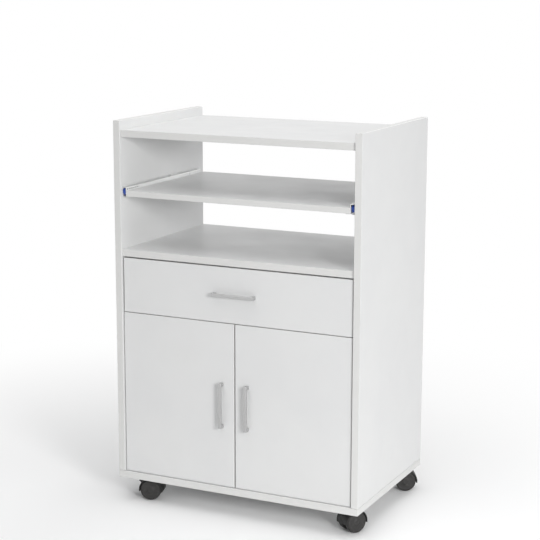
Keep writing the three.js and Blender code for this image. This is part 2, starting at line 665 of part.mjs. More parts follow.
function casterHood() {
  const across = WHEEL_FAR_Y;
  const webHalf = HOOD_WEB / 2;
  const wheelSpace = across + OVERSHOOT;
  const clearance = cylinderY(HOOD_INNER, -wheelSpace, wheelSpace, CASTER_TRAIL, AXLE_Z, HOOD_SIDES);
  const column = cylinderZ(NECK_RADIUS, AXLE_Z, NECK_TOP, 0, 0, NECK_SIDES);
  const neck = solid(column).subtract(solid(clearance));
  const axleEnd = WHEEL_FAR_Y - WHEEL_COVER - AXLE_END_GAP;
  const boreLow = PLATE_Z - PINTLE_LENGTH - PINTLE_END_GAP;
  const bore = cylinderZ(PINTLE_RADIUS + PINTLE_GAP, boreLow, NECK_TOP + OVERSHOOT, 0, 0);
  const body = neck
    .add(solid(hoodSector(HOOD_INNER, HOOD_OUTER, across)))
    .add(solid(hoodSector(0, HOOD_OUTER - HOOD_THICKNESS / 2, webHalf)))
    .add(solid(cylinderY(HOOD_BOSS_RADIUS, -webHalf, webHalf, CASTER_TRAIL, AXLE_Z)))
    .add(solid(cylinderY(AXLE_RADIUS, -axleEnd, axleEnd, CASTER_TRAIL, AXLE_Z)))
    .subtract(solid(bore));
  return surface(body);
}

// One wheel, its covered face outwards; a flat of the faceted tread lies on the floor.
function casterWheel(side) {
  const facet = Math.PI / WHEEL_SIDES;
  const tread = WHEEL_RADIUS / Math.cos(facet);
  const bore = AXLE_RADIUS + AXLE_GAP;
  const boreEnd = WHEEL_FAR_Y - WHEEL_COVER;
  const profile = [
    [0, boreEnd],
    [bore, boreEnd],
    [bore, WHEEL_NEAR_Y],
    [tread - WHEEL_CHAMFER, WHEEL_NEAR_Y],
    [tread, WHEEL_NEAR_Y + WHEEL_CHAMFER],
    [tread, WHEEL_FAR_Y - WHEEL_CHAMFER],
    [tread - WHEEL_CHAMFER, WHEEL_FAR_Y],
    [0, WHEEL_FAR_Y],
  ].map(([x, y]) => new THREE.Vector2(x, y));
  const wheel = new THREE.LatheGeometry(profile, WHEEL_SIDES, facet);
  if (side < 0) {
    wheel.rotateX(Math.PI);
  }
  return wheel.translate(CASTER_TRAIL, 0, AXLE_Z);
}

function buildCasters() {
  const x = WIDTH / 2 - CASTER_SIDE_INSET;
  const ends = { front: FRONT_Y + CASTER_END_INSET, rear: REAR_Y - CASTER_END_INSET };
  for (const [end, y] of Object.entries(ends)) {
    for (const [name, side] of Object.entries(SIDES)) {
      const corner = `${end}_${name}`;
      place(`caster_plate_${corner}`, casterPlate(), NICKEL).position.set(side * x, y, 0);
      const caster = new THREE.Group();
      caster.position.set(side * x, y, 0);
      caster.rotation.z = THREE.MathUtils.degToRad(CASTER_TURN[corner]);
      cart.add(caster);
      place(`caster_hood_${corner}`, casterHood(), BLACK_HOOD, caster);
      place(`caster_wheel_${corner}_outer`, casterWheel(-1), BLACK_WHEEL, caster);
      place(`caster_wheel_${corner}_inner`, casterWheel(1), BLACK_WHEEL, caster);
    }
  }
}

buildCarcass();
buildPulloutShelf();
buildDrawer();
buildDoors();
buildCasters();

export default cart;
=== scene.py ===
"""Looks of the microwave cart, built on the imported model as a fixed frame. Metres, +Z up."""

import json
import math

import bmesh
import bpy
from mathutils import Matrix, Vector

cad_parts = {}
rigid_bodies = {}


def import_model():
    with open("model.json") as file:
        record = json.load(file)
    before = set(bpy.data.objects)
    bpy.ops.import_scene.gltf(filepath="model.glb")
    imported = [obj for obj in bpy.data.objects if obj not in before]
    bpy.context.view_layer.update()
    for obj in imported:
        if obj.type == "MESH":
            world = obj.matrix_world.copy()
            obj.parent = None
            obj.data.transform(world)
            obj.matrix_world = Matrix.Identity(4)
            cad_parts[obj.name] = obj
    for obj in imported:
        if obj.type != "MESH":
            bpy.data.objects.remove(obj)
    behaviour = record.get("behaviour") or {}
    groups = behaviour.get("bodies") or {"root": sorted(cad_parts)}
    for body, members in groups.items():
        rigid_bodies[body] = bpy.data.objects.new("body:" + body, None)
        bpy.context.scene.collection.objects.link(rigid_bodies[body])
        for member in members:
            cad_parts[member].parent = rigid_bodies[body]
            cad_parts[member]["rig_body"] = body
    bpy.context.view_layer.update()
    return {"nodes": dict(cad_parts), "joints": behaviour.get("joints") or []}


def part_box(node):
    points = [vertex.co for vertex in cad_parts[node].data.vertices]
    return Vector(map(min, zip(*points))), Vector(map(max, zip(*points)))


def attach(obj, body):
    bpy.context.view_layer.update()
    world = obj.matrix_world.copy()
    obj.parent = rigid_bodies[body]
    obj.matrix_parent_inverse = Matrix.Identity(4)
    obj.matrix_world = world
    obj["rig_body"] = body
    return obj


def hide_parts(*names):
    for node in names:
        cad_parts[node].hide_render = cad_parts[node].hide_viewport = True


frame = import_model()

NODES = frame["nodes"]
JOINTS = {joint["child"]: joint for joint in frame["joints"]}
MM = 0.001
SIDES = {"left": -1, "right": 1}
CORNERS = ("front_left", "front_right", "rear_left", "rear_right")

# ---------------------------------------------------------------- camera, solved from the photograph's edges

# Angles in radians and the place in metres. The lens and the sensor's width are in millimetres.
YAW, PITCH, ROLL = 0.4511, -0.1984, 0.0018
CAMERA_AT = (1.4813, -3.0647, 1.2224)
LENS = 100.866
SENSOR_WIDTH = 36


def make_camera():
    ahead = Vector((-math.sin(YAW) * math.cos(PITCH), math.cos(YAW) * math.cos(PITCH), math.sin(PITCH)))
    right = Vector((math.cos(YAW), math.sin(YAW), 0))
    up = right.cross(ahead)
    right, up = (
        right * math.cos(ROLL) + up * math.sin(ROLL),
        up * math.cos(ROLL) - right * math.sin(ROLL),
    )
    data = bpy.data.cameras.new("camera")
    data.sensor_width = SENSOR_WIDTH
    data.lens = LENS
    data.clip_end = 100
    camera = bpy.data.objects.new("camera", data)
    camera.matrix_world = Matrix.Translation(CAMERA_AT) @ Matrix((right, up, -ahead)).transposed().to_4x4()
    bpy.context.scene.collection.objects.link(camera)
    bpy.context.scene.camera = camera


# ---------------------------------------------------------------- materials

# Nearly all of a noise lies between these two values
NOISE_LOW, NOISE_HIGH = 0.3, 0.7


def between(dark, light):
    """The stops of a ramp from one colour to another, over the range of a noise."""
    return [(NOISE_LOW, dark), (NOISE_HIGH, light)]


def lines_along(axis, fine, coarse):
    """Noise scales that draw a grain into lines along one axis."""
    scale = [fine] * 3
    scale[axis] = coarse
    return tuple(scale)


class Surface:
    """A procedural material that is put together layer by layer."""

    def __init__(self, name, roughness, metallic=0.0):
        self.material = bpy.data.materials.new(name)
        self.material.use_nodes = True
        self.tree = self.material.node_tree
        self.shader = self.tree.nodes["Principled BSDF"]
        self.coords = self.add("ShaderNodeTexCoord").outputs["Object"]
        self.shader.inputs["Roughness"].default_value = roughness
        self.shader.inputs["Metallic"].default_value = metallic
        self.color = None
        self.normal = None

    def add(self, kind, **settings):
        node = self.tree.nodes.new(kind)
        for key, value in settings.items():
            setattr(node, key, value)
        return node

    def join(self, output, target):
        self.tree.links.new(output, target)

    def stretched(self, scale):
        """Object coordinates, scaled by one number or by three."""
        mapping = self.add("ShaderNodeMapping")
        mapping.inputs["Scale"].default_value = (scale,) * 3 if isinstance(scale, (int, float)) else scale
        self.join(self.coords, mapping.inputs["Vector"])
        return mapping.outputs["Vector"]

    def noise(self, scale, detail=4.0, grain=0.55):
        node = self.add("ShaderNodeTexNoise")
        node.inputs["Scale"].default_value = 1
        node.inputs["Detail"].default_value = detail
        node.inputs["Roughness"].default_value = grain
        self.join(self.stretched(scale), node.inputs["Vector"])
        return node.outputs["Fac"]

    def cell_tone(self, scale):
        """One grey for each cell of a pattern of chips or crystals."""
        node = self.add("ShaderNodeTexVoronoi")
        node.inputs["Scale"].default_value = 1
        self.join(self.stretched(scale), node.inputs["Vector"])
        tone = self.add("ShaderNodeSeparateColor")
        self.join(node.outputs["Color"], tone.inputs["Color"])
        return tone.outputs["Red"]

    def weave(self, scale):
        """Two crossed sets of fine ridges."""
        waves = []
        for direction in ("X", "Z"):
            node = self.add("ShaderNodeTexWave", bands_direction=direction)
            node.inputs["Scale"].default_value = 1
            node.inputs["Distortion"].default_value = 0.6
            self.join(self.stretched(scale), node.inputs["Vector"])
            waves.append(node.outputs["Fac"])
        both = self.add("ShaderNodeMath", operation="MULTIPLY")
        self.join(waves[0], both.inputs[0])
        self.join(waves[1], both.inputs[1])
        return both.outputs["Value"]

    def tint(self, value, stops):
        """The base colour: a ramp through stops of (position, colour)."""
        node = self.add("ShaderNodeValToRGB")
        elements = node.color_ramp.elements
        while len(elements) < len(stops):
            elements.new(0.5)
        for element, (position, color) in zip(elements, stops):
            element.position = position
            element.color = (*color, 1)
        self.join(value, node.inputs["Fac"])
        self.color = node.outputs["Color"]

    def mask(self, value, low, high, strength=1.0):
        """Rises smoothly from 0 to strength while the value goes from low to high."""
        node = self.add("ShaderNodeMapRange", interpolation_type="SMOOTHSTEP")
        node.inputs["From Min"].default_value = low
        node.inputs["From Max"].default_value = high
        node.inputs["To Max"].default_value = strength
        self.join(value, node.inputs["Value"])
        return node.outputs["Result"]

    def overlay(self, mask, color):
        """Lays another colour over the colour so far, where the mask is high."""
        node = self.add("ShaderNodeMix", data_type="RGBA")
        self.join(mask, node.inputs["Factor"])
        self.join(self.color, node.inputs[6])
        node.inputs[7].default_value = (*color, 1)
        self.color = node.outputs[2]

    def polish(self, value, low, high):
        """Roughness that drifts between two values."""
        node = self.add("ShaderNodeMapRange")
        node.inputs["From Min"].default_value = NOISE_LOW
        node.inputs["From Max"].default_value = NOISE_HIGH
        node.inputs["To Min"].default_value = low
        node.inputs["To Max"].default_value = high
        self.join(value, node.inputs["Value"])
        self.join(node.outputs["Result"], self.shader.inputs["Roughness"])

    def bump(self, value, strength, depth):
        """Adds a relief to the reliefs so far."""
        node = self.add("ShaderNodeBump")
        node.inputs["Strength"].default_value = strength
        node.inputs["Distance"].default_value = depth
        self.join(value, node.inputs["Height"])
        if self.normal:
            self.join(self.normal, node.inputs["Normal"])
        self.normal = node.outputs["Normal"]

    def done(self, **settings):
        """Ends the material. A setting is an input of the shader, with _ for each space in its name."""
        for key, value in settings.items():
            self.shader.inputs[key.replace("_", " ")].default_value = value
        self.join(self.color, self.shader.inputs["Base Color"])
        if self.normal:
            self.join(self.normal, self.shader.inputs["Normal"])
        return self.material


def make_melamine():
    s = Surface("melamine_white", 0.4)
    stops = [(0.3, (0.690, 0.693, 0.695)), (0.55, (0.715, 0.717, 0.715)), (0.75, (0.700, 0.702, 0.698))]
    s.tint(s.noise(5, 5), stops)
    s.overlay(s.mask(s.noise(420, 2), 0.66, 0.8, 0.12), (0.62, 0.62, 0.61))
    s.polish(s.noise(14, 6, 0.65), 0.33, 0.47)
    s.bump(s.noise(60, 3), 0.08, 0.0004)
    s.bump(s.noise(1100, 2), 0.16, 0.00006)
    return s.done(Coat_Weight=0.08, Coat_Roughness=0.2)


def make_edge_band(name, along):
    """Edge band with faint streaks along one axis."""
    streaks = lines_along(along, 1500.0, 16.0)
    s = Surface(name, 0.38)
    s.tint(s.noise(9, 4), between((0.665, 0.664, 0.652), (0.69, 0.688, 0.678)))
    s.overlay(s.mask(s.noise(streaks, 2), 0.58, 0.72, 0.2), (0.60, 0.598, 0.585))
    s.polish(s.noise(streaks, 3), 0.3, 0.44)
    s.bump(s.noise(streaks, 3), 0.12, 0.00006)
    return s.done()


def make_chipboard():
    s = Surface("chipboard_raw", 0.85)
    chips = [(0.0, (0.33, 0.22, 0.12)), (0.5, (0.50, 0.36, 0.21)), (1.0, (0.62, 0.47, 0.30))]
    s.tint(s.cell_tone((700, 260, 700)), chips)
    s.bump(s.noise(1400, 4), 0.8, 0.0003)
    return s.done()


def make_hardboard(name, screened):
    """White painted hardboard. The screened side keeps the marks of the screen it was pressed on."""
    s = Surface(name, 0.55)
    s.tint(s.noise(11, 5), between((0.66, 0.655, 0.635), (0.69, 0.685, 0.67)))
    s.overlay(s.mask(s.noise((500, 500, 90), 3), 0.62, 0.78, 0.35), (0.66, 0.64, 0.60))
    s.polish(s.noise(30, 4), 0.48, 0.66)
    if screened:
        s.bump(s.weave((620, 1, 620)), 0.55, 0.0003)
    s.bump(s.noise(700, 4), 0.25, 0.00015)
    return s.done()


def make_coated_steel():
    s = Surface("coated_steel_white", 0.28)
    s.tint(s.noise(25, 3), between((0.75, 0.755, 0.75), (0.77, 0.773, 0.765)))
    s.overlay(s.mask(s.noise((90, 12, 90), 5, 0.7), 0.7, 0.8, 0.15), (0.6, 0.6, 0.59))
    s.polish(s.noise(70, 4), 0.26, 0.34)
    s.bump(s.noise(450, 2), 0.12, 0.0001)
    return s.done(Coat_Weight=0.25, Coat_Roughness=0.12)


def make_roller_nylon():
    s = Surface("nylon_blue", 0.4)
    s.tint(s.noise(160, 3), between((0.018, 0.060, 0.33), (0.028, 0.085, 0.42)))
    s.overlay(s.mask(s.noise((30, 600, 600), 4, 0.7), 0.6, 0.75, 0.35), (0.16, 0.22, 0.42))
    s.polish(s.noise(300, 4), 0.3, 0.5)
    s.bump(s.noise((2200, 260, 260), 2), 0.15, 0.00006)
    return s.done(Subsurface_Weight=0.08, Subsurface_Scale=0.002)


def make_handle_metal(name, along):
    """Satin silver with the fine lines of brushing along the bar."""
    lines = lines_along(along, 2600.0, 40.0)
    s = Surface(name, 0.3, 0.8)
    s.tint(s.noise(lines, 3), between((0.45, 0.45, 0.45), (0.53, 0.53, 0.53)))
    s.polish(s.noise(lines, 2), 0.26, 0.4)
    s.bump(s.noise(lines, 3), 0.18, 0.00005)
    s.bump(s.noise(900, 2), 0.05, 0.00004)
    return s.done(Anisotropic=0.35)


def make_nickel():
    s = Surface("nickel_plate", 0.25, 1.0)
    s.tint(s.noise(120, 4), between((0.56, 0.545, 0.51), (0.66, 0.65, 0.615)))
    s.overlay(s.mask(s.noise(900, 5, 0.75), 0.62, 0.72, 0.4), (0.40, 0.385, 0.36))
    s.polish(s.noise(240, 5), 0.18, 0.36)
    s.bump(s.noise((1800, 300, 1800), 3), 0.12, 0.00005)
    return s.done()


def make_zinc():
    s = Surface("zinc_plate", 0.4, 1.0)
    s.tint(s.cell_tone(420), [(0.0, (0.42, 0.43, 0.445)), (1.0, (0.55, 0.56, 0.575))])
    s.overlay(s.mask(s.noise(160, 5, 0.7), 0.6, 0.75, 0.5), (0.36, 0.36, 0.355))
    s.polish(s.noise(200, 4), 0.32, 0.5)
    s.bump(s.noise(800, 3), 0.15, 0.00008)
    return s.done()


def make_black_nylon(name, dark, light, rough, dust):
    """Moulded black nylon with a fine spark-eroded grain and a trace of floor dust."""
    s = Surface(name, rough)
    s.tint(s.noise(90, 4), between(dark, light))
    s.overlay(s.mask(s.noise(55, 6, 0.7), 0.55, 0.8, dust), (0.16, 0.155, 0.145))
    s.polish(s.noise(130, 5), rough - 0.08, rough + 0.1)
    s.bump(s.noise(1700, 3), 0.35, 0.0001)
    return s.done()


def make_painted_recess_shade():
    # Near black: painted shade for recesses that are not cut, and for the dark behind a rail's row of slots
    s = Surface("recess_dark", 0.6, 0.7)
    s.tint(s.noise(900, 2), between((0.02, 0.02, 0.02), (0.06, 0.06, 0.058)))
    return s.done()


def background_rays(tree):
    """1 for the rays that see the white background: straight, mirrored or through glass."""
    path = tree.nodes.new("ShaderNodeLightPath")
    value = path.outputs["Is Camera Ray"]
    for kind in ("Is Glossy Ray", "Is Transmission Ray"):
        either = tree.nodes.new("ShaderNodeMath")
        either.operation = "MAXIMUM"
        tree.links.new(value, either.inputs[0])
        tree.links.new(path.outputs[kind], either.inputs[1])
        value = either.outputs["Value"]
    return value


FLOOR_RADIUS = 1.7
FLOOR_PLAIN_RADIUS = 0.45
FLOOR_WHITE_RADIUS = 0.97 * FLOOR_RADIUS


def make_floor_paper():
    """Pale paper that fades into the white background away from the cart."""
    s = Surface("floor_paper", 0.75)
    s.tint(s.noise(0.8, 3), between((0.94, 0.94, 0.94), (0.955, 0.955, 0.955)))
    s.bump(s.noise(240, 3), 0.04, 0.0003)
    material = s.done(Specular_IOR_Level=0.15)
    distance = s.add("ShaderNodeVectorMath", operation="LENGTH")
    s.join(s.coords, distance.inputs[0])
    fade = s.add("ShaderNodeMath", operation="MULTIPLY")
    s.join(s.mask(distance.outputs["Value"], FLOOR_PLAIN_RADIUS, FLOOR_WHITE_RADIUS), fade.inputs[0])
    s.join(background_rays(s.tree), fade.inputs[1])
    white = s.add("ShaderNodeEmission")
    white.inputs["Color"].default_value = (1, 1, 1, 1)
    mix = s.add("ShaderNodeMixShader")
    s.join(fade.outputs["Value"], mix.inputs["Fac"])
    s.join(s.shader.outputs["BSDF"], mix.inputs[1])
    s.join(white.outputs["Emission"], mix.inputs[2])
    s.join(mix.outputs["Shader"], s.tree.nodes["Material Output"].inputs["Surface"])
    return material


MELAMINE = make_melamine()
BANDS = [make_edge_band(f"edge_band_{axis}", i) for i, axis in enumerate("xyz")]
CHIPBOARD = make_chipboard()
HARDBOARD = make_hardboard("hardboard_face", screened=False)
HARDBOARD_REAR = make_hardboard("hardboard_screen_side", screened=True)
COATED_STEEL = make_coated_steel()
ROLLER_NYLON = make_roller_nylon()
HANDLE_LEVEL = make_handle_metal("handle_satin_level", along=0)
HANDLE_UPRIGHT = make_handle_metal("handle_satin_upright", along=2)
NICKEL = make_nickel()
ZINC = make_zinc()
HOOD_NYLON = make_black_nylon("hood_nylon", (0.005, 0.0048, 0.0046), (0.010, 0.0095, 0.009), 0.48, 0.25)
WHEEL_NYLON = make_black_nylon("wheel_nylon", (0.018, 0.0172, 0.0165), (0.029, 0.0275, 0.0262), 0.52, 0.35)
TREAD_NYLON = make_black_nylon("tread_nylon", (0.015, 0.0145, 0.014), (0.025, 0.024, 0.023), 0.6, 0.8)
PAINTED_RECESS_SHADE = make_painted_recess_shade()

# ---------------------------------------------------------------- mesh helpers

FULL_TURN = 2 * math.pi
ON_AXIS = 1e-9  # a point this near the axis of a lathe lies on it
BEND_STEPS = 5

# The materials of a piece, by index: its own, and a near-black one that paints the shade of its recesses
OWN, PAINTED_SHADE = 0, 1

# Half the section of a pan head, in parts of its radius and its height
PAN_HEAD = [(0.0, 1.0), (0.45, 0.97), (0.75, 0.82), (0.93, 0.5), (1.0, 0.12), (1.0, -0.1), (0, -0.1)]


def in_mm(points):
    """Points given in millimetres, in metres."""
    return [(a * MM, b * MM) for a, b in points]


def body_of(node):
    return NODES[node]["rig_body"]


def axis_frame(origin, direction, across=None):
    """A frame whose Z runs along direction, and whose X lies as near across as it can."""
    z = Vector(direction).normalized()
    hint = Vector(across) if across else (Vector((1, 0, 0)) if abs(z.x) < 0.9 else Vector((0, 1, 0)))
    x = (hint - z * hint.dot(z)).normalized()
    y = z.cross(x)
    return Matrix.Translation(origin) @ Matrix((x, y, z)).transposed().to_4x4()


def round_edges(bm, edges, radius, segments):
    bmesh.ops.bevel(
        bm, geom=edges, offset=radius, segments=segments, profile=0.5, affect="EDGES", clamp_overlap=True
    )


class Build:
    """Collects the solids of one piece."""

    def __init__(self, bm=None):
        self.bm = bm or bmesh.new()

    def take(self, verts, faces, matrix, index, bevel=0.0, segments=2, angle=40):
        """Adds a closed body, moved by matrix. A bevel rounds its edges of more than angle degrees."""
        part = bmesh.new()
        corners = [part.verts.new(matrix @ Vector(v)) for v in verts]
        for face in faces:
            part.faces.new([corners[i] for i in face])
        bmesh.ops.recalc_face_normals(part, faces=part.faces)
        if bevel:
            limit = math.radians(angle)
            sharp = [e for e in part.edges if len(e.link_faces) == 2 and e.calc_face_angle() > limit]
            round_edges(part, sharp, bevel, segments)
        for face in part.faces:
            face.material_index = index
        spare = bpy.data.meshes.new("spare")
        part.to_mesh(spare)
        part.free()
        self.bm.from_mesh(spare)
        bpy.data.meshes.remove(spare)

    def prism(self, outline, depth, matrix, index=OWN, bevel=0.0, segments=2, angle=40):
        """A flat outline in the frame's X and Y, raised along its Z."""
        n = len(outline)
        verts = [(x, y, 0) for x, y in outline] + [(x, y, depth) for x, y in outline]
        faces = [list(range(n))[::-1], list(range(n, 2 * n))]
        faces += [[i, (i + 1) % n, n + (i + 1) % n, n + i] for i in range(n)]
        self.take(verts, faces, matrix, index, bevel, segments, angle)

    def box(self, low, high, index, bevel):
        outline = [(low[0], low[1]), (high[0], low[1]), (high[0], high[1]), (low[0], high[1])]
        self.prism(outline, high[2] - low[2], Matrix.Translation((0, 0, low[2])), index, bevel)

    def cross(self, long, slim, depth, matrix, index):
        """Two flat bars that cross: half a bar's length, half its width, and its depth."""
        for x, y in ((long, slim), (slim, long)):
            self.prism([(-x, -y), (x, -y), (x, y), (-x, y)], depth, matrix, index)

    def lathe(self, profile, matrix, sides, start=0.0, sweep=FULL_TURN):
        """A profile of (radius, height) turned round the frame's Z. A part turn is closed at its ends."""
        whole = sweep >= FULL_TURN
        steps = sides if whole else sides + 1
        verts, rings = [], []
        for radius, height in profile:
            if radius < ON_AXIS:
                rings.append([len(verts)] * steps)
                verts.append((0, 0, height))
                continue
            rings.append(list(range(len(verts), len(verts) + steps)))
            for k in range(steps):
                a = start + sweep * k / sides
                verts.append((radius * math.cos(a), radius * math.sin(a), height))
        faces = []
        for low, high in zip(rings, rings[1:]):
            for k in range(sides):
                m = (k + 1) % steps
                corner = [low[k], low[m], high[m], high[k]]
                face = [v for i, v in enumerate(corner) if v != corner[i - 1]]
                if len(face) > 2:
                    faces.append(face)
        if not whole:
            for k in (0, steps - 1):
                ring = [r[k] for r in rings]
                faces.append([v for i, v in enumerate(ring) if v != ring[i - 1]])
        self.take(verts, faces, matrix, OWN)

    def screw(self, point, direction, radius, height):
        """A pan head that stands on a face. Its cross recess is not cut: a dark cross of painted shade
        stands just proud of the head.
        """
        place = axis_frame(point, direction)
        self.lathe([(radius * r, height * h) for r, h in PAN_HEAD], place, 18)
        top, foot = height * 1.02, height * 0.6
        recess = place @ Matrix.Translation((0, 0, foot))
        # The dark cross paints the shade of the recess
        self.cross(radius * 0.52, radius * 0.13, top - foot, recess, PAINTED_SHADE)

    def piece(self, name, materials, body, stands_for=(), smooth=None):
        """Ends the collection: one object that rides on a body of the frame.

        With smooth, only edges of more than that many degrees stay sharp.
        """
        bmesh.ops.recalc_face_normals(self.bm, faces=self.bm.faces)
        mesh = bpy.data.meshes.new(name)
        self.bm.to_mesh(mesh)
        self.bm.free()
        for material in materials:
            mesh.materials.append(material)
        if smooth:
            mesh.polygons.foreach_set("use_smooth", [True] * len(mesh.polygons))
            mesh.set_sharp_from_angle(angle=math.radians(smooth))
        obj = bpy.data.objects.new(name, mesh)
        bpy.context.scene.collection.objects.link(obj)
        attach(obj, body)
        if stands_for:
            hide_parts(*stands_for)
        return obj


def carve(obj, cutter):
    """Cuts a collection of solids out of a finished piece."""
    mesh = bpy.data.meshes.new("cutter")
    bmesh.ops.recalc_face_normals(cutter.bm, faces=cutter.bm.faces)
    cutter.bm.to_mesh(mesh)
    cutter.bm.free()
    tool = bpy.data.objects.new("cutter", mesh)
    bpy.context.scene.collection.objects.link(tool)
    modifier = obj.modifiers.new("holes", "BOOLEAN")
    modifier.operation = "DIFFERENCE"
    modifier.solver = "EXACT"
    modifier.object = tool
    bpy.context.view_layer.update()
    result = bpy.data.meshes.new_from_object(obj.evaluated_get(bpy.context.evaluated_depsgraph_get()))
    obj.modifiers.remove(modifier)
    obj.data = result
    bpy.data.objects.remove(tool)


def turned(center, start, sweep, radius, steps):
    """Points on an arc. Its start and its sweep are in degrees."""
    angles = [math.radians(start + sweep * k / steps) for k in range(steps + 1)]
    return [(center[0] + radius * math.cos(a), center[1] + radius * math.sin(a)) for a in angles]


def rounded_rectangle(x, y, radius, steps=6):
    """An outline about the origin: x and y are half its sides."""
    points = []
    for cx, cy, start in ((x, y, 0), (-x, y, 90), (-x, -y, 180), (x, -y, 270)):
        center = (cx - math.copysign(radius, cx), cy - math.copysign(radius, cy))
        points += turned(center, start, 90, radius, steps)
    return points


def rotated(arm, angle):
    c, s = math.cos(angle), math.sin(angle)
    return Vector((arm.x * c - arm.y * s, arm.x * s + arm.y * c))


def bent_strip(corners, thickness, radius):
    """The outline of a bent sheet: its middle line runs through square corners."""
    left, right = [], []
    last = len(corners) - 1
    for i, corner in enumerate(corners):
        p = Vector(corner)
        ahead = (Vector(corners[min(i + 1, last)]) - Vector(corners[min(i, last - 1)])).normalized()
        side = Vector((-ahead.y, ahead.x))
        if i in (0, last):
            left.append(p + side * thickness / 2)
            right.append(p - side * thickness / 2)
            continue
        before = (p - Vector(corners[i - 1])).normalized()
        normal = Vector((-before.y, before.x))
        turn = 1 if before.x * ahead.y - before.y * ahead.x > 0 else -1
        center = p - before * radius + normal * turn * radius
        for offset, line in ((thickness / 2, left), (-thickness / 2, right)):
            arm = -normal * turn * (radius - turn * offset)
            for k in range(BEND_STEPS + 1):
                line.append(center + rotated(arm, turn * math.pi / 2 * k / BEND_STEPS))
    return [tuple(p) for p in left + right[::-1]]


# ---------------------------------------------------------------- boards

BOARD_ROUND = 0.8 * MM
WELD = 1e-6
ON_WALL = 1e-5  # a corner this near a side of the board's box lies on it
INSET = 0.3 * MM  # a face this far inside the box belongs to a hole or a groove
ONE_PLANE = math.radians(0.3)  # faces at less than this angle are joined

# The materials of a board, by index. A long edge runs along the board's greatest side.
FACE, LONG_EDGE, RAW, SCREENED, SHORT_EDGE = range(5)

# In the photograph some seams are narrower than the CAD's, and one shows as a hairline. So the lower
# side of a board, along axis 0 or 2, moves by this much.
SEAM_EDGES = {
    "door_left": {2: -2.0 * MM, 0: -1.2 * MM},
    "door_right": {2: -2.0 * MM},
    "drawer_front": {2: -1.4 * MM},
    "side_panel_left": {2: 0.5 * MM},
    "side_panel_right": {2: 0.5 * MM},
}


def board(node, faces=MELAMINE, screened=None):
    """A copy of the CAD board with rounded arrises, banded edges and raw board in its holes and grooves.

    The side that screened names, -1 or 1 along the thickness, has the marks of the screen.
    """
    low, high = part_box(node)
    bm = bmesh.new()
    bm.from_mesh(NODES[node].data)
    bmesh.ops.remove_doubles(bm, verts=bm.verts, dist=WELD)
    low = low.copy()
    for axis, shift in SEAM_EDGES.get(node, {}).items():
        edge = [v for v in bm.verts if abs(v.co[axis] - low[axis]) < ON_WALL]
        low[axis] += shift
        for vert in edge:
            vert.co[axis] = low[axis]
    size = high - low
    thin, second, long = sorted(range(3), key=lambda axis: size[axis])
    bmesh.ops.dissolve_limit(bm, angle_limit=ONE_PLANE, verts=bm.verts, edges=bm.edges)

    def walls(vert):
        """The sides of the box that a corner lies on."""
        ends = [(axis, end) for axis in range(3) for end in (low, high)]
        return {i for i, (axis, end) in enumerate(ends) if abs(vert.co[axis] - end[axis]) < ON_WALL}

    arrises = [e for e in bm.edges if len(walls(e.verts[0]) & walls(e.verts[1])) >= 2]
    round_edges(bm, arrises, BOARD_ROUND, 2)
    bm.normal_update()
    for face in bm.faces:
        middle = face.calc_center_median()
        inside = all(low[a] + INSET < middle[a] < high[a] - INSET for a in range(3))
        turned_to = max(range(3), key=lambda axis: abs(face.normal[axis]))
        if inside:
            face.material_index = RAW
        elif turned_to == thin:
            face.material_index = SCREENED if screened and face.normal[thin] * screened > 0 else FACE
        else:
            face.material_index = SHORT_EDGE if turned_to == long else LONG_EDGE
    build = Build(bm)
    materials = [faces, BANDS[long], CHIPBOARD, HARDBOARD_REAR, BANDS[second]]
    build.piece(f"{node}_finished", materials, body_of(node), [node])


def make_boards():
    for node in (
        "side_panel_left",
        "side_panel_right",
        "bottom_panel",
        "top_panel",
        "fixed_shelf",
        "cupboard_shelf",
        "pullout_shelf_board",
        "drawer_front",
        "drawer_side_left",
        "drawer_side_right",
        "drawer_back",
        "door_left",
        "door_right",
    ):
        board(node)
    board("back_panel", HARDBOARD, screened=1)
    board("drawer_bottom", HARDBOARD, screened=-1)


# ---------------------------------------------------------------- runners

# As in the CAD: the rails' sheet, and how far from the middle the cabinet's inner walls and the sides of the
# carried board or box are
SHEET = 1.2 * MM
INNER = 284 * MM
CARRIED = 271.5 * MM

RAIL_BEND = 1.5 * MM
SCREW_LIFT = 10 * MM  # a cabinet rail's screws and slots, above the underside of what it carries

# Distances from the front end of a rail, in millimetres
CABINET_SCREWS = (37, 165, 293)
CARRIER_SCREWS = (40, 170, 310)
CARRIER_SLOTS = (60, 188, 300)
CARRIER_ROW = [7 + 8.8 * k for k in range(6)]


def rail(name, node, corners, side, y0, y1, slots):
    """A bent sheet with slots of (x, y, z, radius, length) through its wall."""
    outline = bent_strip(corners, SHEET, RAIL_BEND)
    place = axis_frame((0, y1, 0), (0, -1, 0), (1, 0, 0))
    build = Build()
    section = [(side * x, z) for x, z in outline]
    build.prism(section, y1 - y0, place, bevel=0.25 * MM, segments=1, angle=60)
    made = build.piece(name, [COATED_STEEL], body_of(node), [node], smooth=40)
    cutter = Build()
    for x, y, z, radius, length in slots:
        ends = turned((length / 2, 0), -90, 180, radius, 8) + turned((-length / 2, 0), 90, 180, radius, 8)
        through = axis_frame((side * x, y, z), (side, 0, 0), (0, 1, 0))
        cutter.prism(ends, 4 * MM, through @ Matrix.Translation((0, 0, -2 * MM)))
    carve(made, cutter)


